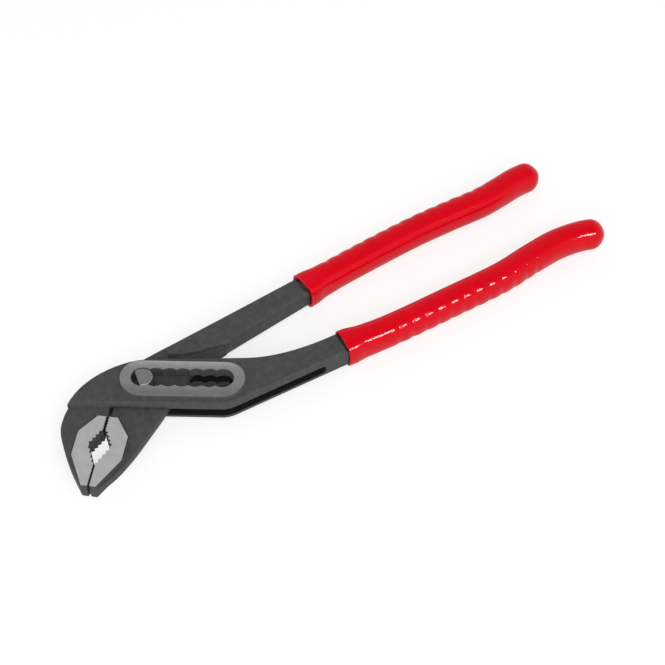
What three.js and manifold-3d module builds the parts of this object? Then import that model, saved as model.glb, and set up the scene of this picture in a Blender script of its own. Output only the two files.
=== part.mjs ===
// Water pump pliers: a slotted box half, an inner half that passes through the box,
// a flatted pivot pin that indexes along the slot, and two dipped plastic grips.
// Millimetres, +Z up. X runs along the slot. The pivot axis in the first notch is the
// origin, and the tool lies on z = 0 with its jaws closed.
import * as THREE from 'three';
import { mergeVertices } from 'three/addons/utils/BufferGeometryUtils.js';
import Module from 'manifold-3d';

// Clearance between pieces that run on each other or are fitted over each other
const RUNNING_GAP = 0.3;

// Thicknesses, from the middle of the joint outwards
const PLATE_THICKNESS = 3.4;
const CHEEK_THICKNESS = 2.9;
const RING_HEIGHT = 1.3;
const JAW_THICKNESS = 7.2;
const JAW_WEB_THICKNESS = 6.0;
const JAW_EDGE = 0.5;
const INNER_SHANK_THICKNESS = 9.0;

// Pivot pin and its row of notches
const PIN_RADIUS = 4.1;
const PIN_FLAT_DISTANCE = 1.9;
const PIN_EDGE = 0.3;
const NOTCH_PITCH = 5.3;
const NOTCH_COUNT = 7;
const RING_BAND = 4.9;
const RING_EDGE = 0.5;
const OPEN_ANGLE = 68;

// Box half: cheeks about the slot, forged edges, and the shank with its slit
const CHEEK_BELOW = 12.3;
const CHEEK_ABOVE = 10.8;
const CHEEK_RISE = 1.8;
const CHEEK_CORNER_REACH = 6.4;
const CHEEK_CORNER_RISE = 2.0;
const CAP_CROWN_REACH = 12;
const CAP_CROWN_DROP = 1.6;
const CAP_SHOULDER_SHARE = 0.88;
const NECK_SHARE = 0.33;
const NECK_RISE = 0.8;
const SHOULDER_SHARE = 0.68;
const SHOULDER_RISE_SHARE = 0.48;
const FORGED_RUN = 1.2;
const FORGED_DROP = 1.6;
const SLIT_TO_GRIP = 12.6;
const SLIT_BELOW_CHEEKS = 3.6;
const SLIT_SWING_ROOM = 5;

// Jaws, measured along and across the seam where they meet
const SEAM_OFFSET = 9.5;
const SEAM_TILT = 6.7;
const SEAM_HALF_GAP = 0.7;
const LAND_BELOW_CHEEKS = 6.6;
const LAND_LENGTH = 32.5;
const LAND_TOP_WIDTH = 4.0;
const LAND_WIDTH = 9.9;
const LAND_SHOULDER = 8.3;
const LAND_TAPER = 13.1;
const NOSE_WIDTH = 2.9;
const NOSE_BEYOND_LAND = 0.4;
const BOX_JAW_WIDTH = 17.7;
const INNER_JAW_WIDTH = 21;
const JAW_ROOT = 3;
const JAW_CAP_INSET = 2;
const RECESS_BELOW_LAND_TOP = 6.7;
const RECESS_UPPER_FLANK = 7.0;
const RECESS_LOWER_FLANK = 8.2;
const RECESS_DEPTH = 4.0;
const TOOTH_DEPTH = 0.9;
const FLANK_TEETH = 4;
const SERRATION_DEPTH = 0.32;
const TOP_SERRATIONS = 5;
const NOSE_SERRATIONS = 11;
const TOOTH_LEAN = 0.7;

// Backs of the jaws: shares of the land's length, and of the jaw's width there
const BOX_JAW_BACK = [[0.06, 0.975], [0.32, 0.92], [0.71, 0.55]];
const INNER_JAW_BACK = [[0.75, 0.425], [0.45, 0.645], [0.14, 0.82]];

// Inner half: hub, the plate behind it, and the shank with a shallow forged triangle on each face
const HUB_RADIUS = 8.8;
const PLATE_BULGE = 1.5;
const PLATE_BULGE_LENGTH = 17.5;
const PLATE_BULGE_FADE = 3;
const PLATE_BACK = 15.6;
const PLATE_BACK_REACH = 5.5;
const PLATE_BACK_DROP = 2.4;
const ROOT_BEYOND_PLATE = 6.4;
const ROOT_ABOVE_CHEEKS = 0.6;
const ROOT_SHARE = 0.2;
const ROOM_GAP = 0.45;
const RELIEF_LEFT = 12.2;
const RELIEF_RIGHT = 25;
const RELIEF_APEX_X = 17;
const RELIEF_APEX_Y = 21;
const RELIEF_APEX_WIDTH = 3.2;
const RELIEF_DEPTH = 0.45;
const INNER_FORGED_RUN = 2;
const INNER_FORGED_DROP = 2;

// Handles: where each grip begins, how wide its shank is there, and the grip's chord
const BOX_GRIP_BEYOND_SLOT = 47.1;
const BOX_GRIP_Y = 20.9;
const BOX_SHANK_WIDTH = 11.4;
const BOX_GRIP_LENGTH = 129.6;
const BOX_GRIP_ANGLE = 30.9;
const INNER_GRIP_X = 61.6;
const INNER_GRIP_Y = 51;
const INNER_SHANK_WIDTH = 10.3;
const INNER_GRIP_LENGTH = 124.5;
const INNER_GRIP_ANGLE = 35.2;

// Bows of the handles' middle lines: a share of the grip's chord, and millimetres to its left there
const BOX_GRIP_BOWS = [
  [0, 0], [0.17, -1.2], [0.4, -0.6], [0.59, 0.2], [0.72, 2.7], [0.83, 4.2], [0.92, 3.2], [1, 0],
];
const INNER_GRIP_BOWS = [
  [0, 0], [0.2, 1.2], [0.45, 1.6], [0.61, 0.7], [0.74, -0.5], [0.83, 0], [0.91, 0.8], [1, 0],
];

// Grips and the tangs inside them
const GRIP_WIDTH = 12.4;
const LIP_FLARE = 0.8;
const LIP_LENGTH = 9;
const LIP_HOLD = 3.2;
const LIP_FADE = 6.3;
const LIP_FADE_FLARE = 0.28;
const TANG_WIDTH = 8.6;
const TANG_THICKNESS = 7.8;
const TANG_TAPER = 0.7;
const TANG_ROOT = 2;
const TANG_SQUARENESS = 3.2;
const GRIP_END_WALL = 13;
const GRIP_SQUARENESS = 2.5;

// Fineness of round forms
const RING_POINTS = 16;
const BAR_SEGMENTS = 32;
const TANG_STEPS = 12;
const GRIP_STEPS = 16;
const END_STEPS = 5;
const END_TURN = 82;
const EDGE_STEPS = 8;
const FORGED_SEGMENTS = 3;
const OUTLINE_SEGMENTS = 12;
const WELD = 1e-4;

// Sizes that follow from the ones above
const boxGap = PLATE_THICKNESS + 2 * RUNNING_GAP;
const boxThickness = boxGap + 2 * CHEEK_THICKNESS;
const toolThickness = boxThickness + 2 * RING_HEIGHT;
const midZ = toolThickness / 2;
const notchRadius = PIN_RADIUS + RUNNING_GAP;
const slotLength = NOTCH_PITCH * (NOTCH_COUNT - 1);
const ringRadius = notchRadius + RING_BAND;
const capReach = SEAM_OFFSET + BOX_JAW_WIDTH + FORGED_RUN;
const landStart = CHEEK_BELOW + LAND_BELOW_CHEEKS;
const landEnd = landStart + LAND_LENGTH;
const jawReach = landEnd + NOSE_BEYOND_LAND;
const cutReach = 2 * jawReach;

const wasm = await Module();
wasm.setup();

const radians = THREE.MathUtils.degToRad;
const mix = THREE.MathUtils.lerp;
const at = (x, y) => new THREE.Vector2(x, y);
const heading = (degrees) => at(Math.cos(radians(degrees)), Math.sin(radians(degrees)));
const leftOf = (direction) => at(-direction.y, direction.x);
const step = (from, direction, distance) => from.clone().addScaledVector(direction, distance);

// A plan point given along and across the seam; the pivot lies SEAM_OFFSET to the seam's right
function jawPoint(along, across) {
  const down = heading(-90 - SEAM_TILT);
  return step(step(at(0, 0), down, along), leftOf(down), across - SEAM_OFFSET);
}

// Solids from geometry, and named meshes from solids
function solidOf(geometry) {
  const bare = geometry.clone();
  bare.deleteAttribute('normal');
  bare.deleteAttribute('uv');
  const welded = mergeVertices(bare, WELD);
  return new wasm.Manifold(new wasm.Mesh({
    numProp: 3,
    vertProperties: new Float32Array(welded.attributes.position.array),
    triVerts: new Uint32Array(welded.index.array),
  }));
}

function meshOf(solid, name, material) {
  const { vertProperties, triVerts } = solid.getMesh();
  const geometry = new THREE.BufferGeometry();
  geometry.setAttribute('position', new THREE.BufferAttribute(vertProperties, 3));
  geometry.setIndex(new THREE.BufferAttribute(triVerts, 1));
  geometry.computeVertexNormals();
  const mesh = new THREE.Mesh(geometry, new THREE.MeshStandardMaterial(material));
  mesh.name = name;
  return mesh;
}

// A plan outline thickened about the middle of the tool, its top and bottom edges bevelled on request
function slab(shape, thickness, { run = 0, drop = 0, bevelSegments = 1 } = {}) {
  const geometry = new THREE.ExtrudeGeometry(shape, {
    depth: thickness - 2 * drop,
    curveSegments: OUTLINE_SEGMENTS,
    bevelEnabled: run > 0,
    bevelSize: run,
    bevelOffset: -run,
    bevelThickness: drop,
    bevelSegments,
  });
  geometry.translate(0, 0, midZ - thickness / 2 + drop);
  return solidOf(geometry);
}

// An upright round bar about the middle of the tool
function bar(radius, thickness, place) {
  const geometry = new THREE.CylinderGeometry(radius, radius, thickness, BAR_SEGMENTS);
  geometry.rotateX(Math.PI / 2);
  geometry.translate(place.x, place.y, midZ);
  return solidOf(geometry);
}

// A wide flat layer about the middle of the tool
function layer(thickness) {
  const geometry = new THREE.BoxGeometry(2 * cutReach, 2 * cutReach, thickness);
  geometry.translate(0, 0, midZ);
  return solidOf(geometry);
}

// Everything beyond an upright face that stands in a plan point and looks one way
function beyond(place, facing) {
  const geometry = new THREE.BoxGeometry(cutReach, cutReach, cutReach);
  geometry.translate(cutReach / 2, 0, 0);
  geometry.rotateZ(facing.angle());
  geometry.translate(place.x, place.y, midZ);
  return solidOf(geometry);
}

// One rounded-box ring of points across a handle
function handleRing({ place, direction, halfWidth, halfThickness, squareness }) {
  const side = leftOf(direction);
  const round = (value) => Math.sign(value) * Math.abs(value) ** (2 / squareness);
  return Array.from({ length: RING_POINTS }, (_, i) => {
    const angle = (2 * Math.PI * i) / RING_POINTS;
    const across = step(place, side, round(Math.cos(angle)) * halfWidth);
    return [across.x, across.y, midZ + round(Math.sin(angle)) * halfThickness];
  });
}

// A solid skinned over rings along a handle, closed flat at both ends
function loft(stations) {
  const rings = stations.map(handleRing);
  const index = [];
  const vertex = (ring, i) => ring * RING_POINTS + (i % RING_POINTS);
  for (let ring = 0; ring < rings.length - 1; ring += 1) {
    for (let i = 0; i < RING_POINTS; i += 1) {
      index.push(vertex(ring, i), vertex(ring, i + 1), vertex(ring + 1, i));
      index.push(vertex(ring + 1, i), vertex(ring, i + 1), vertex(ring + 1, i + 1));
    }
  }
  const last = rings.length - 1;
  for (let i = 1; i < RING_POINTS - 1; i += 1) {
    index.push(vertex(0, 0), vertex(0, i + 1), vertex(0, i));
    index.push(vertex(last, 0), vertex(last, i), vertex(last, i + 1));
  }
  const geometry = new THREE.BufferGeometry();
  geometry.setAttribute('position', new THREE.Float32BufferAttribute(rings.flat(2), 3));
  geometry.setIndex(index);
  return solidOf(geometry);
}

// A handle's middle line: a chord from the grip's mouth to its end, bowed sideways at shares of its length
function handlePath(mouth, length, angle, bows) {
  const along = heading(angle);
  const side = leftOf(along);
  const knot = ([share, bow]) => step(step(mouth, along, share * length), side, bow);
  return new THREE.SplineCurve(bows.map(knot));
}

const boxMouth = at(slotLength + BOX_GRIP_BEYOND_SLOT, BOX_GRIP_Y);
const boxPath = handlePath(boxMouth, BOX_GRIP_LENGTH, BOX_GRIP_ANGLE, BOX_GRIP_BOWS);
const innerMouth = at(INNER_GRIP_X, INNER_GRIP_Y);
const innerPath = handlePath(innerMouth, INNER_GRIP_LENGTH, INNER_GRIP_ANGLE, INNER_GRIP_BOWS);

// The place and direction at a distance along a path; before its start the path runs on straight
function onPath(path, distance) {
  const share = Math.min(Math.max(distance / path.getLength(), 0), 1);
  const direction = path.getTangentAt(share);
  return { place: step(path.getPointAt(share), direction, Math.min(distance, 0)), direction };
}

// The two corners of a shank where it meets its grip
function shankEnd(path, width) {
  const { place, direction } = onPath(path, 0);
  const side = leftOf(direction);
  return { low: step(place, side, -width / 2), high: step(place, side, width / 2), direction, side };
}

// Tang inside a grip: a rounded bar that thins towards the handle's end, grown to make the grip's bore
function tang(path, start, grow) {
  const end = path.getLength() - GRIP_END_WALL + grow;
  const stations = Array.from({ length: TANG_STEPS + 1 }, (_, i) => {
    const share = i / TANG_STEPS;
    const size = mix(1, TANG_TAPER, share);
    return {
      ...onPath(path, mix(start, end, share)),
      halfWidth: (TANG_WIDTH / 2) * size + grow,
      halfThickness: (TANG_THICKNESS / 2) * size + grow,
      squareness: TANG_SQUARENESS,
    };
  });
  return loft(stations);
}

// Grip: a sleeve with a flared lip at its mouth, a plain body and a rounded closed end
function grip(path) {
  const length = path.getLength();
  const endRadius = GRIP_WIDTH / 2;
  const station = (distance, flare, size = 1) => ({
    ...onPath(path, distance),
    halfWidth: (GRIP_WIDTH / 2 + flare) * size,
    halfThickness: (toolThickness / 2) * size,
    squareness: GRIP_SQUARENESS,
  });
  const lip = [
    station(RUNNING_GAP, LIP_FLARE / 2),
    station(RUNNING_GAP + LIP_FLARE / 2, LIP_FLARE),
    station(LIP_HOLD, LIP_FLARE),
    station(LIP_FADE, LIP_FADE_FLARE),
  ];
  const body = Array.from({ length: GRIP_STEPS + 1 }, (_, i) => (
    station(mix(LIP_LENGTH, length - endRadius, i / GRIP_STEPS), 0)
  ));
  const end = Array.from({ length: END_STEPS }, (_, i) => {
    const turn = radians(END_TURN) * ((i + 1) / END_STEPS);
    return station(length - endRadius * (1 - Math.sin(turn)), 0, Math.cos(turn));
  });
  return loft([...lip, ...body, ...end]).subtract(tang(path, -RUNNING_GAP, RUNNING_GAP));
}

// Teeth along one flank of the mouth, tips on the line and valleys cut away from the seam
function teeth(from, to, count, depth) {
  const pitch = to.clone().sub(from).divideScalar(count);
  const outward = leftOf(pitch).normalize();
  return Array.from({ length: count }, (_, i) => {
    const tip = step(from, pitch, i);
    return [tip, step(step(tip, pitch, TOOTH_LEAN), outward, depth)];
  }).flat();
}

// The opening between the closed jaws, cut from both of them: a slim seam, the toothed pipe recess
// and a serrated nose, the same on both sides of the seam
function mouthShape() {
  const shut = RUNNING_GAP / 2;
  const corners = [
    at(landStart, SEAM_HALF_GAP / 2),
    at(landStart + RECESS_BELOW_LAND_TOP, RUNNING_GAP),
    at(landStart + RECESS_BELOW_LAND_TOP + RECESS_UPPER_FLANK, RECESS_DEPTH),
    at(landStart + RECESS_BELOW_LAND_TOP + RECESS_UPPER_FLANK + RECESS_LOWER_FLANK, shut),
    at(landEnd, shut),
  ];
  const edge = [
    at(CHEEK_BELOW, SEAM_HALF_GAP),
    ...teeth(corners[0], corners[1], TOP_SERRATIONS, SERRATION_DEPTH),
    ...teeth(corners[1], corners[2], FLANK_TEETH, TOOTH_DEPTH),
    ...teeth(corners[2], corners[3], FLANK_TEETH, TOOTH_DEPTH),
    ...teeth(corners[3], corners[4], NOSE_SERRATIONS, SERRATION_DEPTH),
    at(jawReach + NOSE_WIDTH, shut),
  ];
  const right = edge.map((p) => jawPoint(p.x, p.y));
  const left = edge.map((p) => jawPoint(p.x, -p.y)).reverse();
  return new THREE.Shape([...right, ...left]);
}

// Ground bright land beside the seam; side is -1 on the box half's jaw and 1 on the inner half's
function landShape(side) {
  const outline = [
    [landStart, 0], [landStart, LAND_TOP_WIDTH], [landStart + LAND_SHOULDER, LAND_WIDTH],
    [landEnd - LAND_TAPER, LAND_WIDTH], [landEnd, NOSE_WIDTH], [landEnd, 0],
  ];
  return new THREE.Shape(outline.map(([along, across]) => jawPoint(along, across * side)));
}

// Upper edge of the box half, from the grip back to the cheeks
function boxUpperEdge() {
  const { high } = shankEnd(boxPath, BOX_SHANK_WIDTH);
  const cheekEnd = at(slotLength + ringRadius, CHEEK_ABOVE + CHEEK_RISE);
  const neck = at(mix(cheekEnd.x, high.x, NECK_SHARE), cheekEnd.y + NECK_RISE);
  const riseX = mix(cheekEnd.x, high.x, SHOULDER_SHARE);
  const rise = at(riseX, mix(cheekEnd.y, high.y, SHOULDER_RISE_SHARE));
  return new THREE.CubicBezierCurve(high, rise, neck, cheekEnd);
}

// Box half, thick part: left cap, cheeks and shank as one outline
function boxShape() {
  const { low } = shankEnd(boxPath, BOX_SHANK_WIDTH);
  const upper = boxUpperEdge();
  const corner = at(slotLength + CHEEK_CORNER_REACH, CHEEK_CORNER_RISE - CHEEK_BELOW);
  const shape = new THREE.Shape();
  shape.moveTo(slotLength, -CHEEK_BELOW);
  shape.quadraticCurveTo(mix(slotLength, corner.x, 0.5), -CHEEK_BELOW, corner.x, corner.y);
  shape.lineTo(low.x, low.y);
  shape.lineTo(upper.v0.x, upper.v0.y);
  shape.bezierCurveTo(upper.v1.x, upper.v1.y, upper.v2.x, upper.v2.y, upper.v3.x, upper.v3.y);
  shape.lineTo(0, CHEEK_ABOVE);
  const crown = at(-CAP_CROWN_REACH, CHEEK_ABOVE - CAP_CROWN_DROP);
  shape.bezierCurveTo(crown.x, crown.y, -capReach * CAP_SHOULDER_SHARE, 0, -capReach, -CHEEK_BELOW);
  return shape;
}

// Places along the back of a jaw
function jawBack(shares, width) {
  return shares.map(([along, across]) => jawPoint(landStart + along * LAND_LENGTH, across * width));
}

// Left jaw behind its land, running up into the cap
function boxJawShape() {
  const shape = new THREE.Shape();
  shape.setFromPoints([
    jawPoint(CHEEK_BELOW - JAW_ROOT, 0),
    at(JAW_CAP_INSET - capReach, JAW_ROOT - CHEEK_BELOW),
  ]);
  shape.splineThru([...jawBack(BOX_JAW_BACK, -BOX_JAW_WIDTH), jawPoint(jawReach, -NOSE_WIDTH)]);
  const nose = jawPoint(jawReach, 0);
  shape.lineTo(nose.x, nose.y);
  return shape;
}

// The slit between the cheeks: it takes the inner half's plate through its whole travel and swing.
// Its end in the shank is rounded to half its height.
function slitSolid() {
  const { direction, side } = shankEnd(boxPath, BOX_SHANK_WIDTH);
  const end = onPath(boxPath, -SLIT_TO_GRIP).place;
  const reach = 2 * BOX_SHANK_WIDTH;
  const kink = jawPoint(0, -SEAM_HALF_GAP - PLATE_BULGE);
  const swung = step(kink, heading(OPEN_ANGLE + INNER_GRIP_ANGLE + SLIT_SWING_ROOM), 2 * HUB_RADIUS);
  const low = jawPoint(CHEEK_BELOW + SLIT_BELOW_CHEEKS, -SEAM_HALF_GAP);
  const top = step(end, side, reach);
  const shape = new THREE.Shape([
    low, at(slotLength, low.y), step(end, side, -reach), top, at(swung.x, top.y), swung, kink,
  ]);
  const round = new THREE.CylinderGeometry(boxGap / 2, boxGap / 2, 2 * reach, BAR_SEGMENTS);
  round.rotateZ(direction.angle());
  round.translate(end.x, end.y, midZ);
  return slab(shape, boxGap).add(solidOf(round));
}

// Raised ring around the row of notches, on both faces of the box
function ringSolid() {
  const shape = new THREE.Shape();
  shape.absarc(slotLength, 0, ringRadius, -Math.PI / 2, Math.PI / 2);
  shape.absarc(0, 0, ringRadius, Math.PI / 2, (3 * Math.PI) / 2);
  return slab(shape, toolThickness, { run: RING_EDGE, drop: RING_EDGE });
}

function notches() {
  const places = Array.from({ length: NOTCH_COUNT }, (_, i) => at(i * NOTCH_PITCH, 0));
  return places.map((place) => bar(notchRadius, 2 * toolThickness, place));
}

function boxLever() {
  const mouth = slab(mouthShape(), toolThickness);
  const web = slab(boxJawShape(), JAW_WEB_THICKNESS, { run: JAW_EDGE, drop: JAW_EDGE });
  const jaw = web.add(slab(landShape(-1), JAW_THICKNESS)).subtract(mouth);
  let body = slab(boxShape(), boxThickness, { run: FORGED_RUN, drop: FORGED_DROP });
  body = body.add(ringSolid()).subtract(slitSolid()).add(jaw);
  notches().forEach((notch) => { body = body.subtract(notch); });
  return body.add(tang(boxPath, -TANG_ROOT, 0));
}

// The point where the inner half's upper edge runs off its round hub
function hubTangent() {
  const { high } = shankEnd(innerPath, INNER_SHANK_WIDTH);
  const turn = high.angle() + Math.acos(HUB_RADIUS / high.length());
  return { turn, point: at(Math.cos(turn), Math.sin(turn)).multiplyScalar(HUB_RADIUS) };
}

// Where the inner half's handle comes out from under the box, on its lower edge
function handleRoot() {
  return at(PLATE_BACK + ROOT_BEYOND_PLATE, CHEEK_ABOVE + ROOT_ABOVE_CHEEKS);
}

// Inner half's shank: straight-sided from beside the hub to the grip's mouth
function innerShankShape() {
  const { low, high } = shankEnd(innerPath, INNER_SHANK_WIDTH);
  return new THREE.Shape([handleRoot(), low, high, hubTangent().point]);
}

// Inner half, thin part: right jaw, hub and the root of the handle, which ends inside the shank
function plateShape() {
  const { low, high, side } = shankEnd(innerPath, INNER_SHANK_WIDTH);
  const nose = jawPoint(jawReach, 0);
  const tip = jawPoint(jawReach, NOSE_WIDTH);
  const rootInShank = handleRoot().lerp(low, ROOT_SHARE);
  const root = step(rootInShank, side, -PLATE_BULGE);
  const inShank = step(rootInShank.lerp(low, ROOT_SHARE), side, PLATE_BULGE);
  const { turn, point } = hubTangent();
  const outward = point.clone().normalize();
  const upperEdge = high.clone().sub(point).normalize();
  const bulge = step(step(point, upperEdge, PLATE_BULGE_LENGTH), outward, PLATE_BULGE);
  const bulgeEnd = PLATE_BULGE_LENGTH + PLATE_BULGE_FADE;
  const bulgeFoot = step(step(point, upperEdge, bulgeEnd), outward, -PLATE_BULGE);
  const seamTurn = radians(180 - SEAM_TILT);
  const shape = new THREE.Shape();
  shape.moveTo(nose.x, nose.y);
  shape.lineTo(tip.x, tip.y);
  shape.splineThru([
    ...jawBack(INNER_JAW_BACK, INNER_JAW_WIDTH),
    jawPoint(CHEEK_BELOW, INNER_JAW_WIDTH),
    at(PLATE_BACK, 0),
    at(PLATE_BACK + PLATE_BACK_REACH, CHEEK_ABOVE - PLATE_BACK_DROP),
    root,
  ]);
  shape.lineTo(inShank.x, inShank.y);
  shape.lineTo(bulgeFoot.x, bulgeFoot.y);
  shape.lineTo(bulge.x, bulge.y);
  shape.absarc(0, 0, HUB_RADIUS + PLATE_BULGE, turn, seamTurn);
  const hubFoot = jawPoint(CHEEK_BELOW, SEAM_OFFSET - HUB_RADIUS);
  const seamTop = jawPoint(CHEEK_BELOW, 0);
  shape.lineTo(hubFoot.x, hubFoot.y);
  shape.lineTo(seamTop.x, seamTop.y);
  return shape;
}

// Room beside the plate for the box half: under its cheeks' top edge with the tool wide open, and under
// its upper edge with the tool shut in the last notch
function cheekRoom() {
  const height = CHEEK_ABOVE + CHEEK_RISE + ROOM_GAP;
  const open = [at(-cutReach, height), at(-cutReach, -cutReach), at(0, -cutReach), at(0, height)];
  open.forEach((corner) => corner.rotateAround(at(0, 0), radians(-OPEN_ANGLE)));
  const boxEdge = boxUpperEdge().getPoints(EDGE_STEPS).map((p) => at(p.x - slotLength, p.y + ROOM_GAP));
  const shut = [at(-cutReach, height), at(-cutReach, -cutReach), at(boxEdge[0].x, -cutReach), ...boxEdge];
  const room = slab(new THREE.Shape(open), toolThickness).add(slab(new THREE.Shape(shut), toolThickness));
  return room.subtract(layer(PLATE_THICKNESS));
}

// Shallow blunt triangle on both faces of the inner half's shank, standing on the cheeks' edge
function shankRelief() {
  const foot = CHEEK_ABOVE + CHEEK_RISE;
  const triangle = new THREE.Shape([
    at(RELIEF_LEFT, foot),
    at(RELIEF_RIGHT, foot),
    at(RELIEF_APEX_X + RELIEF_APEX_WIDTH / 2, RELIEF_APEX_Y),
    at(RELIEF_APEX_X - RELIEF_APEX_WIDTH / 2, RELIEF_APEX_Y),
  ]);
  return slab(triangle, toolThickness).subtract(layer(INNER_SHANK_THICKNESS - 2 * RELIEF_DEPTH));
}

function innerLever() {
  const forged = { run: INNER_FORGED_RUN, drop: INNER_FORGED_DROP, bevelSegments: FORGED_SEGMENTS };
  const blank = slab(innerShankShape(), INNER_SHANK_THICKNESS, forged);
  const shank = blank.subtract(shankRelief()).subtract(cheekRoom());
  const jaw = slab(plateShape(), PLATE_THICKNESS).add(slab(landShape(1), JAW_THICKNESS));
  const bitten = jaw.subtract(slab(mouthShape(), toolThickness));
  const body = bitten.add(shank).add(tang(innerPath, -TANG_ROOT, 0));
  return body.subtract(bar(notchRadius, toolThickness, at(0, 0)));
}

// Pivot pin: round where it turns in the inner half, with a flat on both ends that lies along the slot
// when the tool is wide open, so that the pin slips past the points between the notches
function pivotPin() {
  const outline = [
    at(0, 0), at(PIN_RADIUS - PIN_EDGE, 0), at(PIN_RADIUS, PIN_EDGE),
    at(PIN_RADIUS, toolThickness - PIN_EDGE), at(PIN_RADIUS - PIN_EDGE, toolThickness), at(0, toolThickness),
  ];
  const round = new THREE.LatheGeometry(outline, BAR_SEGMENTS);
  round.rotateX(Math.PI / 2);
  const facing = heading(270 - OPEN_ANGLE);
  const place = facing.clone().multiplyScalar(PIN_FLAT_DISTANCE);
  const cut = beyond(place, facing).subtract(layer(PLATE_THICKNESS));
  return solidOf(round).subtract(cut);
}

const steel = { color: '#4b4b4b', metalness: 0.8, roughness: 0.55 };
const pinSteel = { color: '#848484', metalness: 0.9, roughness: 0.4 };
const redPlastic = { color: '#d90b22', metalness: 0, roughness: 0.3 };

const group = new THREE.Group();
group.name = 'water_pump_pliers';
group.add(meshOf(boxLever(), 'box_lever', steel));
group.add(meshOf(innerLever(), 'inner_lever', steel));
group.add(meshOf(pivotPin(), 'pivot_pin', pinSteel));
group.add(meshOf(grip(boxPath), 'box_grip', redPlastic));
group.add(meshOf(grip(innerPath), 'inner_grip', redPlastic));

export default group;
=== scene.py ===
"""Dresses the water pump pliers: forged levers with rounded edges and ground faces, a crowned pivot pin
and rippled dipped grips, on a pale floor under soft studio light. Lengths are metres."""
import math

import bmesh
import bpy
import numpy as np
from mathutils import Matrix, Vector

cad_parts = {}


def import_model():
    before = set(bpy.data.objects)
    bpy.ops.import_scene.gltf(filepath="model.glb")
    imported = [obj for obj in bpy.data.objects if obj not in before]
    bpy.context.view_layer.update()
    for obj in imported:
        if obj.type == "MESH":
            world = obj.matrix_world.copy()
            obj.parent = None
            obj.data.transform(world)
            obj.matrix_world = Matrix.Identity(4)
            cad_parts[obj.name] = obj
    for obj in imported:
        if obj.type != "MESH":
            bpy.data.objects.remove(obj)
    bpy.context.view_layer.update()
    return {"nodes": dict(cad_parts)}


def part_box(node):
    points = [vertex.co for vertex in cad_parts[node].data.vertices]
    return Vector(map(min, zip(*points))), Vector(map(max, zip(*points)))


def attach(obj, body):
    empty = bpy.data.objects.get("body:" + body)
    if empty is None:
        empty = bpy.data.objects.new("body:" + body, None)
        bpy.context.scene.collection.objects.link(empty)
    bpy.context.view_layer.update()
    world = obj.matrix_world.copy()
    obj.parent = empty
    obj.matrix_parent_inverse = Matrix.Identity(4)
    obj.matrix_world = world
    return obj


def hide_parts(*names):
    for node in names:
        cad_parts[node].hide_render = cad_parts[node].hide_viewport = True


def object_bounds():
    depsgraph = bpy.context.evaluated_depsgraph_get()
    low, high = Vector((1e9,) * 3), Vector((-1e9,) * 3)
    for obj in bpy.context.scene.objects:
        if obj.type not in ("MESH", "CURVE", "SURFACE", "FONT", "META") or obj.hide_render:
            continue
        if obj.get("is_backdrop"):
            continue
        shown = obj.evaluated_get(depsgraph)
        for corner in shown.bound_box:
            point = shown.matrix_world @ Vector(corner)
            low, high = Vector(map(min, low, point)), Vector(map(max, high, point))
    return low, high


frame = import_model()

MM = 0.001

# Levels: the tool's middle, and the heights of its faces above and below that
LOW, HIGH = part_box("box_lever")
MID_Z = (LOW.z + HIGH.z) / 2
SLIT_FACE = 2 * MM
LAND_FACE = 3.6 * MM
CHEEK_FACE = 4.9 * MM

# Ring and pin, whose crown comes in between two heights above the cheeks
RING_RADIUS = 9.3 * MM
RING_CROWN = 0.9 * MM
CROWN_POWER = 4
CROWN_FROM = 0.1 * MM
CROWN_FULL = 0.7 * MM

# The finished pin is this much wider than its solid, which closes part of its running gap
PIN_FIT = 1.035

# Jaws, measured along and across the seam where they meet
SEAM_TILT = math.radians(6.7)
SEAM_OFFSET = 9.5 * MM
LAND_START = 18.9 * MM
TOOTHED_HALF = 5.5 * MM
JAW_ABOVE_LAND = 2 * MM

# Skin of the levers: a fine grid laid over a solid, relaxed so that its edges come out rounded
SKIN_GRID = 0.15 * MM
SKIN_RELAX = 3
SKIN_TRIANGLES = 190_000

# Ground faces, found by their height and their tilt
GROUND_EDGE = 0.08 * MM
GROUND_TILT = math.radians(21)
RING_WALL = 0.15 * MM

# The ground value of a skin's points: millimetres inside a ground face, or a mark for other places
GROUND_BLEND = 0.02
FORGED_MARK = -1.0
SLIT_MARK = -2.0
SLIT_BLEND = (-1.8, -1.2)
SLIT_UPRIGHT = 0.5

# Middle lines of the handles, with sideways bows in millimetres at shares of the length
BOX_MOUTH = (78.9 * MM, 20.9 * MM)
BOX_GRIP_LENGTH = 129.6 * MM
BOX_GRIP_ANGLE = math.radians(30.9)
BOX_BOWS = [(0, 0), (0.17, -1.2), (0.4, -0.6), (0.59, 0.2), (0.72, 2.7), (0.83, 4.2), (0.92, 3.2), (1, 0)]
INNER_MOUTH = (61.6 * MM, 51 * MM)
INNER_GRIP_LENGTH = 124.5 * MM
INNER_GRIP_ANGLE = math.radians(35.2)
INNER_BOWS = [(0, 0), (0.2, 1.2), (0.45, 1.6), (0.61, 0.7), (0.74, -0.5), (0.83, 0), (0.91, 0.8), (1, 0)]
SPAN_STEPS = 40
TANGENT_REACH = 0.5 * MM

# Sleeves: half sizes across, and the squareness of a section, where 2 is an ellipse
GRIP_HALF = 6.2 * MM
GRIP_SQUARENESS = 2.5
STATION_STEP = 0.35 * MM
RING_POINTS = 48
END_ANGLES = np.radians(np.linspace(0, 86, 14))

# Mouth of a sleeve
MOUTH_SQUARENESS = 3.2
LIP_FLARE = 0.8 * MM
LIP_LENGTH = 9 * MM
LIP_HOLD = 0.25
LIP_OVERLAP = 0.35 * MM
LIP_ROUND = 0.45 * MM
LIP_FLATNESS = 0.8
LIP_ANGLES = np.radians((15, 40, 65, 90))

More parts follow.
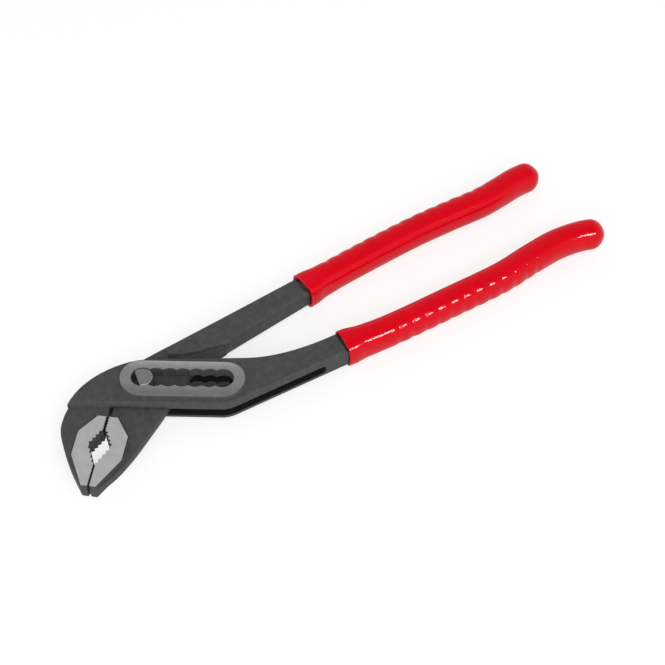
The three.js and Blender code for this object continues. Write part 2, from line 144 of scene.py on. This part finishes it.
# Bore of a sleeve, around the tang and the end of the shank, which are given by half sizes
TANG_HALF_WIDTH = 4.3 * MM
TANG_HALF_HEIGHT = 3.9 * MM
TANG_TAPER = 0.7
TANG_GAP = 0.3 * MM
TANG_SHORT_OF_END = 13 * MM
BORE_RINGS = 24
BOX_SHANK = (5.7 * MM, 4.9 * MM)
INNER_SHANK = (5.15 * MM, 4.5 * MM)
SHANK_GAP = 0.12 * MM
SHANK_SQUARENESS = 8
SHANK_SEAT = 0.2 * MM

# Ripples on a sleeve's outer side: where they start and end, how they fade there and round the section
RIPPLE_PITCH = 6.3 * MM
RIPPLE_DEPTH = 0.28 * MM
RIPPLE_SIDE = (0.2, 0.6)
RIPPLE_RISE = (-2 * MM, 3 * MM)
RIPPLE_FALL = (-8 * MM, 2 * MM)
BOX_RIPPLES = (20.2 * MM, 98 * MM)
INNER_RIPPLES = (12 * MM, 100 * MM)

# Shades of the surfaces, from the darkest to the lightest of their clouding
PHOSPHATE = (0.062, 0.088)
# Painted shade: near black for the slit's walls, where the slit lies in shade
SLIT_SHADE = (0.008, 0.014)
SLIT_SHADE_WARMTH = 0.1
JAW_STEEL = (0.67, 0.74)
RING_STEEL = (0.41, 0.47)
PIN_STEEL = (0.34, 0.4)
STEEL_WARMTH = 0.01
RED = ((0.82, 0.0, 0.009), (0.87, 0.0, 0.013))

# Gloss of the surfaces
PHOSPHATE_ROUGHNESS = (0.55, 0.65)
PHOSPHATE_SPECULAR = 0.28
JAW_ROUGHNESS = 0.56
RING_ROUGHNESS = 0.28
PIN_ROUGHNESS = 0.4
LINE_ROUGHNESS = (-0.05, 0.06)
LEVER_METALLIC = 0.8
PIN_METALLIC = 0.9
RED_ROUGHNESS = (0.09, 0.13)
RED_SPECULAR = 0.16

# Patterns in the surfaces: features per metre, depths, and the range in which most noise lies
NOISE_RANGE = (0.3, 0.7)
MOTTLE_SCALE = 420
CLOUD_SCALE = 260
LINE_SCALE = 2600
LINE_STRETCH = (0.05, 1, 1)
PIN_LINE_TURN = 0.6
PIN_LINE_STRENGTH = 0.6
LINE_DEPTH = 0.01 * MM
GRAIN_SCALE = 3600
GRAIN_DEPTH = 0.015 * MM
UNEVEN_SCALE = 160
UNEVEN_DEPTH = 0.05 * MM
DIP_SCALE = 120
PEEL_SCALE = 900
PEEL_DEPTH = 0.02 * MM

# Floor and studio, whose shades of sky stand at heights from the horizon to overhead
FLOOR_HALF = 4.0
FLOOR_SHADE = 0.45
FLOOR_ROUGHNESS = 0.9
FLOOR_GLOW = 0.68
SKY = [(0.0, 1.0), (0.55, 0.66), (0.78, 0.36), (0.95, 0.18)]

# Camera
CAMERA_AIM = Vector((74.26 * MM, 34.14 * MM, 0))
CAMERA_DISTANCE = 620.9 * MM
CAMERA_ELEVATION = math.radians(51)
CAMERA_TURN = math.radians(1.34)
CAMERA_NEAR = 0.01
SENSOR_WIDTH = 36
FOCAL_PIXELS = 1500
PHOTO_PIXELS = 665


def smoothstep(low, high, value):
    """0 below low, 1 above high, and a smooth rise between."""
    t = np.clip((value - low) / (high - low), 0, 1)
    return t * t * (3 - 2 * t)


def new_piece(name, mesh):
    """A new object in the scene."""
    piece = bpy.data.objects.new(name, mesh)
    bpy.context.scene.collection.objects.link(piece)
    return piece


def seam_place(points):
    """How far points lie along the jaws' seam, from the pivot, and across it."""
    down = np.array((-math.sin(SEAM_TILT), -math.cos(SEAM_TILT)))
    right = np.array((-down[1], down[0]))
    return points[:, :2] @ down, points[:, :2] @ right + SEAM_OFFSET


# Materials

def node_material(name):
    """A new material with its node tree and its shader."""
    material = bpy.data.materials.new(name)
    material.use_nodes = True
    tree = material.node_tree
    return material, tree, tree.nodes["Principled BSDF"]


def noise(tree, scale, detail, stretch=(1, 1, 1), turn=0.0):
    """Noise in the piece's own space; scale is in features per metre, stretch and turn draw it out."""
    place = tree.nodes.new("ShaderNodeTexCoord")
    mapping = tree.nodes.new("ShaderNodeMapping")
    mapping.inputs["Scale"].default_value = stretch
    mapping.inputs["Rotation"].default_value = (0, 0, turn)
    texture = tree.nodes.new("ShaderNodeTexNoise")
    texture.inputs["Scale"].default_value = scale
    texture.inputs["Detail"].default_value = detail
    tree.links.new(place.outputs["Object"], mapping.inputs["Vector"])
    tree.links.new(mapping.outputs["Vector"], texture.inputs["Vector"])
    return texture.outputs["Fac"]


def grinding_lines(tree, turn):
    """Fine lines in one direction, turned about the tool's height."""
    return noise(tree, LINE_SCALE, detail=3, stretch=LINE_STRETCH, turn=turn)


def ramp(tree, factor, stops):
    """A colour picked by a factor from stops of position and colour."""
    node = tree.nodes.new("ShaderNodeValToRGB")
    elements = node.color_ramp.elements
    while len(elements) < len(stops):
        elements.new(0.5)
    for element, (position, color) in zip(elements, stops):
        element.position = position
        element.color = (*color, 1)
    tree.links.new(factor, node.inputs["Fac"])
    return node.outputs["Color"]


def grey(value, warmth=0.0):
    """A grey, with a little more red and less blue for warmth."""
    return (value * (1 + warmth), value, value * (1 - warmth))


def clouded(tree, factor, shades, warmth=0.0):
    """A grey that varies between two shades as a noise does."""
    return ramp(tree, factor, [(at, grey(shade, warmth)) for at, shade in zip(NOISE_RANGE, shades)])


def spread(tree, factor, low, high, source=NOISE_RANGE):
    """A factor's source range carried over to low and high."""
    node = tree.nodes.new("ShaderNodeMapRange")
    node.inputs["From Min"].default_value = source[0]
    node.inputs["From Max"].default_value = source[1]
    node.inputs["To Min"].default_value = low
    node.inputs["To Max"].default_value = high
    tree.links.new(factor, node.inputs["Value"])
    return node.outputs["Result"]


def ground_shine(tree, lines, roughness):
    """Roughness of ground steel, which varies with its grinding lines."""
    low, high = LINE_ROUGHNESS
    return spread(tree, lines, roughness + low, roughness + high)


def mixed(tree, factor, first, second, kind):
    """Two values blended by a factor; kind is FLOAT or RGBA."""
    node = tree.nodes.new("ShaderNodeMix")
    node.data_type = kind
    sockets = [s for s in node.inputs if s.enabled]
    for source, socket in zip((factor, first, second), sockets):
        tree.links.new(source, socket)
    return next(s for s in node.outputs if s.enabled)


def bump(tree, height, distance, strength=1.0, below=None):
    """A normal bent by a height, on top of another normal if one is given."""
    node = tree.nodes.new("ShaderNodeBump")
    node.inputs["Distance"].default_value = distance
    node.inputs["Strength"].default_value = strength
    tree.links.new(height, node.inputs["Height"])
    if below is not None:
        tree.links.new(below, node.inputs["Normal"])
    return node.outputs["Normal"]


def lever_material(name, shades, roughness, turn):
    """Dark mottled phosphate, painted near black on the slit's walls as shade, and ground bright where the
    ground value is above zero.
    """
    material, tree, shader = node_material(name)
    ground = tree.nodes.new("ShaderNodeAttribute")
    ground.attribute_name = "ground"
    bare = spread(tree, ground.outputs["Fac"], 0, 1, source=(-GROUND_BLEND, GROUND_BLEND))
    outside = spread(tree, ground.outputs["Fac"], 0, 1, source=SLIT_BLEND)

    mottle = noise(tree, MOTTLE_SCALE, detail=6)
    forged = clouded(tree, mottle, PHOSPHATE)
    # Painted shade: the slit's walls turn near black
    slit_shade = clouded(tree, mottle, SLIT_SHADE, SLIT_SHADE_WARMTH)
    dark = mixed(tree, outside, slit_shade, forged, "RGBA")
    bright = clouded(tree, noise(tree, CLOUD_SCALE, detail=4), shades, STEEL_WARMTH)
    tree.links.new(mixed(tree, bare, dark, bright, "RGBA"), shader.inputs["Base Color"])

    lines = grinding_lines(tree, turn)
    dull = spread(tree, mottle, *PHOSPHATE_ROUGHNESS)
    shine = ground_shine(tree, lines, roughness)
    tree.links.new(mixed(tree, bare, dull, shine, "FLOAT"), shader.inputs["Roughness"])
    tree.links.new(spread(tree, bare, 0, LEVER_METALLIC, source=(0, 1)), shader.inputs["Metallic"])
    shader.inputs["Specular IOR Level"].default_value = PHOSPHATE_SPECULAR

    uneven = bump(tree, noise(tree, UNEVEN_SCALE, detail=2), UNEVEN_DEPTH)
    fine = mixed(tree, bare, noise(tree, GRAIN_SCALE, detail=2), lines, "FLOAT")
    tree.links.new(bump(tree, fine, GRAIN_DEPTH, below=uneven), shader.inputs["Normal"])
    return material


def pin_material(name):
    """Ground steel with fine grinding lines in one direction."""
    material, tree, shader = node_material(name)
    lines = grinding_lines(tree, PIN_LINE_TURN)
    bright = clouded(tree, noise(tree, CLOUD_SCALE, detail=4), PIN_STEEL, STEEL_WARMTH)
    tree.links.new(bright, shader.inputs["Base Color"])
    tree.links.new(ground_shine(tree, lines, PIN_ROUGHNESS), shader.inputs["Roughness"])
    tree.links.new(bump(tree, lines, LINE_DEPTH, strength=PIN_LINE_STRENGTH), shader.inputs["Normal"])
    shader.inputs["Metallic"].default_value = PIN_METALLIC
    return material


def plastic_material(name):
    """Glossy dipped plastic with a faint orange peel."""
    material, tree, shader = node_material(name)
    dip = noise(tree, DIP_SCALE, detail=3)
    peel = noise(tree, PEEL_SCALE, detail=1)
    tree.links.new(ramp(tree, dip, list(zip(NOISE_RANGE, RED))), shader.inputs["Base Color"])
    tree.links.new(spread(tree, peel, *RED_ROUGHNESS), shader.inputs["Roughness"])
    tree.links.new(bump(tree, peel, PEEL_DEPTH), shader.inputs["Normal"])
    shader.inputs["Specular IOR Level"].default_value = RED_SPECULAR
    return material


jaw_steel = lever_material("ground_jaws", JAW_STEEL, JAW_ROUGHNESS, turn=SEAM_TILT)
ring_steel = lever_material("ground_ring", RING_STEEL, RING_ROUGHNESS, turn=0.0)
pin_steel = pin_material("ground_pin")
red_plastic = plastic_material("red_dipped_plastic")


# Levers and pin: copies of the solids under a relaxed skin, with crowned rings and ground faces

def bake_modifiers(piece):
    """Replaces a piece's mesh with what its modifiers make of it."""
    shaped = piece.evaluated_get(bpy.context.evaluated_depsgraph_get())
    mesh = bpy.data.meshes.new_from_object(shaped)
    piece.modifiers.clear()
    piece.data = mesh


def mesh_array(values, name):
    """A vector of each of a mesh's points or faces, as rows of an array."""
    array = np.empty(len(values) * 3, np.float32)
    values.foreach_get(name, array)
    return array.reshape(-1, 3)


def lay_grid(piece):
    """Lays a fine even grid over a solid."""
    grid = piece.modifiers.new("grid", "REMESH")
    grid.mode = "VOXEL"
    grid.voxel_size = SKIN_GRID
    grid.use_smooth_shade = True
    bake_modifiers(piece)


def relax_skin(piece):
    """Smooths a skin so that its edges come out rounded, but leaves the jaws' teeth crisp."""
    along, across = seam_place(mesh_array(piece.data.vertices, "co"))
    toothed = (along > LAND_START) & (np.abs(across) < TOOTHED_HALF)
    soft = piece.vertex_groups.new(name="soft")
    soft.add(np.flatnonzero(~toothed).tolist(), 1.0, "REPLACE")
    relax = piece.modifiers.new("relax", "SMOOTH")
    relax.iterations = SKIN_RELAX
    relax.vertex_group = soft.name
    bake_modifiers(piece)


def crown_ends(mesh):
    """Grinds the ring and the pin's ends to a crown about the slot's line."""
    points = mesh_array(mesh.vertices, "co")
    rise = points[:, 2] - MID_Z
    raised = smoothstep(CHEEK_FACE + CROWN_FROM, CHEEK_FACE + CROWN_FULL, np.abs(rise))
    points[:, 2] -= np.sign(rise) * raised * RING_CROWN * (points[:, 1] / RING_RADIUS) ** CROWN_POWER
    mesh.vertices.foreach_set("co", points.ravel())
    mesh.update()


def thin_skin(piece):
    """Takes triangles that flat faces don't need out of a skin, and shades the rest by its larger faces."""
    triangles = 2 * len(piece.data.polygons)
    thin = piece.modifiers.new("thin", "DECIMATE")
    thin.ratio = min(1, SKIN_TRIANGLES / triangles)
    piece.modifiers.new("shade", "WEIGHTED_NORMAL")
    bake_modifiers(piece)


def mark_ground(mesh, slit):
    """Stores how far inside a ground face each point lies, in millimetres: lands and ring tops. On a lever
    with a slit, points on the slit's walls get a mark of their own, which the material paints in shade."""
    points = mesh_array(mesh.vertices, "co")
    upright = np.abs(mesh_array(mesh.vertices, "normal")[:, 2])
    height = np.abs(points[:, 2] - MID_Z)
    along, _ = seam_place(points)
    land = np.minimum(height - (LAND_FACE - GROUND_EDGE), along - (LAND_START - GROUND_EDGE))
    ring = np.minimum(height - (CHEEK_FACE + RING_WALL), LAND_START - along)
    level = (upright - math.cos(GROUND_TILT)) * MM
    ground = np.maximum(np.minimum(np.maximum(land, ring), level) / MM, FORGED_MARK)
    if slit:
        # The slit's walls are marked for painted shade
        ground[(height < SLIT_FACE + 2 * SKIN_GRID) & (upright > SLIT_UPRIGHT)] = SLIT_MARK
    layer = mesh.attributes.new("ground", "FLOAT", "POINT")
    layer.data.foreach_set("value", ground.astype(np.float32))


def skinned(node, name, body, materials, fit=1.0, slit=False):
    """A copy of a solid under a fine skin with rounded edges, in the solid's place."""
    mesh = frame["nodes"][node].data.copy()
    mesh.transform(Matrix.Diagonal((fit, fit, 1, 1)))
    piece = new_piece(name, mesh)
    lay_grid(piece)
    relax_skin(piece)
    crown_ends(piece.data)
    thin_skin(piece)
    mark_ground(piece.data, slit)
    piece.data.materials.clear()
    for material in materials:
        piece.data.materials.append(material)
    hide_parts(node)
    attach(piece, body)
    return piece


def assign_jaw_steel(piece):
    """Gives a lever's jaw the second material, whose ground steel is brighter than the ring's."""
    faces = piece.data.polygons
    along, _ = seam_place(mesh_array(faces, "center"))
    jaw = (along > LAND_START - JAW_ABOVE_LAND).astype(np.int32)
    faces.foreach_set("material_index", jaw)


steels = [ring_steel, jaw_steel]
box_lever = skinned("box_lever", "slotted_lever", "box_half", steels, slit=True)
inner_lever = skinned("inner_lever", "through_lever", "inner_half", steels)
skinned("pivot_pin", "flatted_pin", "inner_half", [pin_steel], fit=PIN_FIT)
assign_jaw_steel(box_lever)
assign_jaw_steel(inner_lever)


# Grips: sleeves lofted along the handles' middle lines

def handle_path(mouth, length, angle, bows):
    """Close points along a handle's middle line, a chord bowed sideways at shares of its length."""
    along = np.array((math.cos(angle), math.sin(angle)))
    side = np.array((-along[1], along[0]))
    knots = np.array([mouth + along * share * length + side * bow * MM for share, bow in bows])
    knots = np.vstack((knots[0], knots, knots[-1]))
    t = np.linspace(0, 1, SPAN_STEPS, endpoint=False)[:, None]
    spans = []
    for a, b, c, d in zip(knots, knots[1:], knots[2:], knots[3:]):
        leave = (c - a) / 2
        reach = (d - b) / 2
        square = 3 * (c - b) - 2 * leave - reach
        cube = 2 * (b - c) + leave + reach
        spans.append(b + leave * t + square * t**2 + cube * t**3)
    return np.vstack((*spans, knots[-1:]))


class Handle:
    """A handle's middle line by distance from the grip's mouth."""

    def __init__(self, mouth, length, angle, bows):
        self.points = handle_path(mouth, length, angle, bows)
        steps = np.linalg.norm(np.diff(self.points, axis=0), axis=1)
        self.distances = np.concatenate(((0,), np.cumsum(steps)))
        self.length = self.distances[-1]

    def at(self, distance):
        """The place at a distance, between the line's two ends."""
        return np.array([np.interp(distance, self.distances, self.points[:, i]) for i in (0, 1)])

    def station(self, distance):
        """The place at a distance and the way to the left there; beyond either end the line runs on."""
        clipped = np.clip(distance, 0, self.length)
        ends = np.clip((clipped - TANGENT_REACH, clipped + TANGENT_REACH), 0, self.length)
        before, here, after = (self.at(d) for d in (ends[0], clipped, ends[1]))
        forward = (after - before) / np.linalg.norm(after - before)
        return here + forward * (distance - clipped), np.array((-forward[1], forward[0]))


def section(handle, distance, half_width, half_height, squareness, outer=1, ripple=0.0):
    """One ring of a sleeve: a rounded box across the handle, drawn in by the ripple on its outer side,
    which is 1 for the left and -1 for the right."""
    angles = np.arange(RING_POINTS) * 2 * math.pi / RING_POINTS
    wide, high = np.cos(angles), np.sin(angles)
    wide = np.sign(wide) * np.abs(wide) ** (2 / squareness)
    high = np.sign(high) * np.abs(high) ** (2 / squareness)
    drawn = 1 - ripple / half_width * smoothstep(*RIPPLE_SIDE, outer * wide)
    across = wide * half_width * drawn
    rise = high * half_height * drawn
    place, left = handle.station(distance)
    plan = place + across[:, None] * left
    return np.column_stack((plan, MID_Z + rise))


def bore_rings(handle, shank):
    """The inside of a sleeve, from the bore's closed end out to the shank's end."""
    bore_end = handle.length - TANG_SHORT_OF_END + TANG_GAP
    rings = []
    for share in np.linspace(1, 0, BORE_RINGS):
        size = 1 + (TANG_TAPER - 1) * share
        distance = share * bore_end + SHANK_SEAT * (1 - share)
        half_width = TANG_HALF_WIDTH * size + TANG_GAP
        half_height = TANG_HALF_HEIGHT * size + TANG_GAP
        rings.append(section(handle, distance, half_width, half_height, MOUTH_SQUARENESS))
    half_sizes = [half + SHANK_GAP for half in shank]
    for distance in (SHANK_SEAT, LIP_ROUND - LIP_OVERLAP):
        rings.append(section(handle, distance, *half_sizes, SHANK_SQUARENESS))
    return rings


def lip_rings(handle):
    """The rounded lip of a sleeve's mouth, over the end of the shank."""
    rings = []
    for angle in LIP_ANGLES:
        inset = LIP_ROUND * (1 - math.sin(angle))
        distance = -LIP_OVERLAP + LIP_ROUND * (1 - math.cos(angle)) * LIP_FLATNESS
        half_width = GRIP_HALF + LIP_FLARE - inset
        rings.append(section(handle, distance, half_width, GRIP_HALF - inset, MOUTH_SQUARENESS))
    return rings


def ripple_at(distance, start, end):
    """Depth of the ripples at a distance: round bumps with narrow dips between, fading at both ends."""
    wave = 1 - abs(math.cos(math.pi * (distance - start) / RIPPLE_PITCH))
    rise = smoothstep(*(start + step for step in RIPPLE_RISE), distance)
    fall = smoothstep(*(end + step for step in RIPPLE_FALL), distance)
    return RIPPLE_DEPTH * wave * rise * (1 - fall)


def body_rings(handle, outer, ripples):
    """The outside of a sleeve from its flared mouth to its round end, rippled on its outer side."""
    rings = []
    for distance in np.arange(0, handle.length - GRIP_HALF, STATION_STEP):
        flare = LIP_FLARE * (1 - smoothstep(LIP_HOLD * LIP_LENGTH, LIP_LENGTH, distance))
        eased = smoothstep(0, 2 * LIP_LENGTH, distance)
        squareness = MOUTH_SQUARENESS + (GRIP_SQUARENESS - MOUTH_SQUARENESS) * eased
        ripple = ripple_at(distance, *ripples)
        rings.append(section(handle, distance, GRIP_HALF + flare, GRIP_HALF, squareness, outer, ripple))
    return rings


def end_rings(handle):
    """The round end of a sleeve."""
    start = handle.length - GRIP_HALF
    rings = []
    for angle in END_ANGLES:
        half = GRIP_HALF * math.cos(angle)
        rings.append(section(handle, start + GRIP_HALF * math.sin(angle), half, half, GRIP_SQUARENESS))
    return rings


def skin(name, rings):
    """A closed mesh over rings, its first and last ring closed."""
    last = (len(rings) - 1) * RING_POINTS
    faces = []
    for base in range(0, last, RING_POINTS):
        upper = base + RING_POINTS
        for i in range(RING_POINTS):
            j = (i + 1) % RING_POINTS
            faces.append((base + i, base + j, upper + j, upper + i))
    faces.append(tuple(reversed(range(RING_POINTS))))
    faces.append(tuple(range(last, last + RING_POINTS)))
    mesh = bpy.data.meshes.new(name)
    mesh.from_pydata(np.vstack(rings).tolist(), [], faces)
    bm = bmesh.new()
    bm.from_mesh(mesh)
    bmesh.ops.recalc_face_normals(bm, faces=bm.faces)
    bm.to_mesh(mesh)
    bm.free()
    mesh.polygons.foreach_set("use_smooth", [True] * len(mesh.polygons))
    mesh.materials.append(red_plastic)
    return new_piece(name, mesh)


def grip(name, node, body, handle, shank, ripples, outer):
    """A dipped sleeve: bore, mouth lip over the shank, rippled outer side and rounded end."""
    inside = bore_rings(handle, shank) + lip_rings(handle)
    outside = body_rings(handle, outer, ripples) + end_rings(handle)
    piece = skin(name, inside + outside)
    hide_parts(node)
    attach(piece, body)
    return piece


box_handle = Handle(BOX_MOUTH, BOX_GRIP_LENGTH, BOX_GRIP_ANGLE, BOX_BOWS)
inner_handle = Handle(INNER_MOUTH, INNER_GRIP_LENGTH, INNER_GRIP_ANGLE, INNER_BOWS)
sleeves = [
    grip("lower_sleeve", "box_grip", "box_half", box_handle, BOX_SHANK, BOX_RIPPLES, outer=-1),
    grip("upper_sleeve", "inner_grip", "inner_half", inner_handle, INNER_SHANK, INNER_RIPPLES, outer=1),
]


# Floor, light and camera

def floor_material(name):
    """A matt pale floor that glows for the camera and in reflections, so that it shows white."""
    material, tree, shader = node_material(name)
    shader.inputs["Base Color"].default_value = (*grey(FLOOR_SHADE), 1)
    shader.inputs["Roughness"].default_value = FLOOR_ROUGHNESS
    shader.inputs["Specular IOR Level"].default_value = 0.0
    seen = tree.nodes.new("ShaderNodeLightPath")
    either = tree.nodes.new("ShaderNodeMath")
    either.operation = "MAXIMUM"
    glow = tree.nodes.new("ShaderNodeEmission")
    glow.inputs["Strength"].default_value = FLOOR_GLOW
    dark = tree.nodes.new("ShaderNodeEmission")
    dark.inputs["Strength"].default_value = 0.0
    pick = tree.nodes.new("ShaderNodeMixShader")
    both = tree.nodes.new("ShaderNodeAddShader")
    tree.links.new(seen.outputs["Is Camera Ray"], either.inputs[0])
    tree.links.new(seen.outputs["Is Glossy Ray"], either.inputs[1])
    tree.links.new(either.outputs["Value"], pick.inputs["Fac"])
    tree.links.new(dark.outputs["Emission"], pick.inputs[1])
    tree.links.new(glow.outputs["Emission"], pick.inputs[2])
    tree.links.new(shader.outputs["BSDF"], both.inputs[0])
    tree.links.new(pick.outputs["Shader"], both.inputs[1])
    tree.links.new(both.outputs["Shader"], tree.nodes["Material Output"].inputs["Surface"])
    return material


def floor():
    """A square floor under the tool."""
    half = FLOOR_HALF
    corners = [(-half, -half, 0), (half, -half, 0), (half, half, 0), (-half, half, 0)]
    mesh = bpy.data.meshes.new("floor")
    mesh.from_pydata(corners, [], [(0, 1, 2, 3)])
    mesh.materials.append(floor_material("pale_floor"))
    piece = new_piece("floor", mesh)
    piece.location = (CAMERA_AIM.x, CAMERA_AIM.y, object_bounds()[0].z)
    piece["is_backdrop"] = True


def world():
    """A pale studio: bright near the horizon, dimmer overhead."""
    studio = bpy.data.worlds.new("studio")
    bpy.context.scene.world = studio
    studio.use_nodes = True
    tree = studio.node_tree
    place = tree.nodes.new("ShaderNodeTexCoord")
    split = tree.nodes.new("ShaderNodeSeparateXYZ")
    tree.links.new(place.outputs["Generated"], split.inputs["Vector"])
    sky = ramp(tree, split.outputs["Z"], [(height, grey(shade)) for height, shade in SKY])
    tree.links.new(sky, tree.nodes["Background"].inputs["Color"])


def softbox(name, place, size, power):
    """A rectangular lamp at a place measured from the camera's aim, turned towards it."""
    light = bpy.data.lights.new(name, "AREA")
    light.shape = "RECTANGLE"
    light.size, light.size_y = size
    light.energy = power
    lamp = bpy.data.objects.new(name, light)
    lamp.location = CAMERA_AIM + Vector(place)
    lamp.rotation_euler = (CAMERA_AIM - lamp.location).to_track_quat("-Z", "Y").to_euler()
    bpy.context.scene.collection.objects.link(lamp)
    return lamp


def light_only(lamp, pieces):
    """Keeps a lamp off all but some pieces, as a flag does in a studio."""
    lit = bpy.data.collections.new(lamp.name + "_lit")
    for piece in pieces:
        lit.objects.link(piece)
    lamp.light_linking.receiver_collection = lit


def camera():
    """The photograph's camera, which looks down at the tool from the front."""
    level = math.cos(CAMERA_ELEVATION)
    back_x = math.sin(CAMERA_TURN) * level
    back_y = -math.cos(CAMERA_TURN) * level
    back = Vector((back_x, back_y, math.sin(CAMERA_ELEVATION)))
    data = bpy.data.cameras.new("photo_camera")
    data.sensor_width = SENSOR_WIDTH
    data.lens = FOCAL_PIXELS * SENSOR_WIDTH / PHOTO_PIXELS
    data.clip_start = CAMERA_NEAR
    eye = bpy.data.objects.new("photo_camera", data)
    eye.location = CAMERA_AIM + back * CAMERA_DISTANCE
    eye.rotation_euler = (-back).to_track_quat("-Z", "Y").to_euler()
    bpy.context.scene.collection.objects.link(eye)
    bpy.context.scene.camera = eye


floor()
world()
softbox("front_softbox", place=(0.2, -0.8, 0.95), size=(1.2, 1.0), power=7.8)
glint = softbox("glint_softbox", place=(0.62, -0.42, 0.8), size=(0.26, 0.26), power=10.5)
glint.visible_diffuse = False
light_only(glint, sleeves)
camera()
bpy.context.scene.view_settings.view_transform = "Standard"
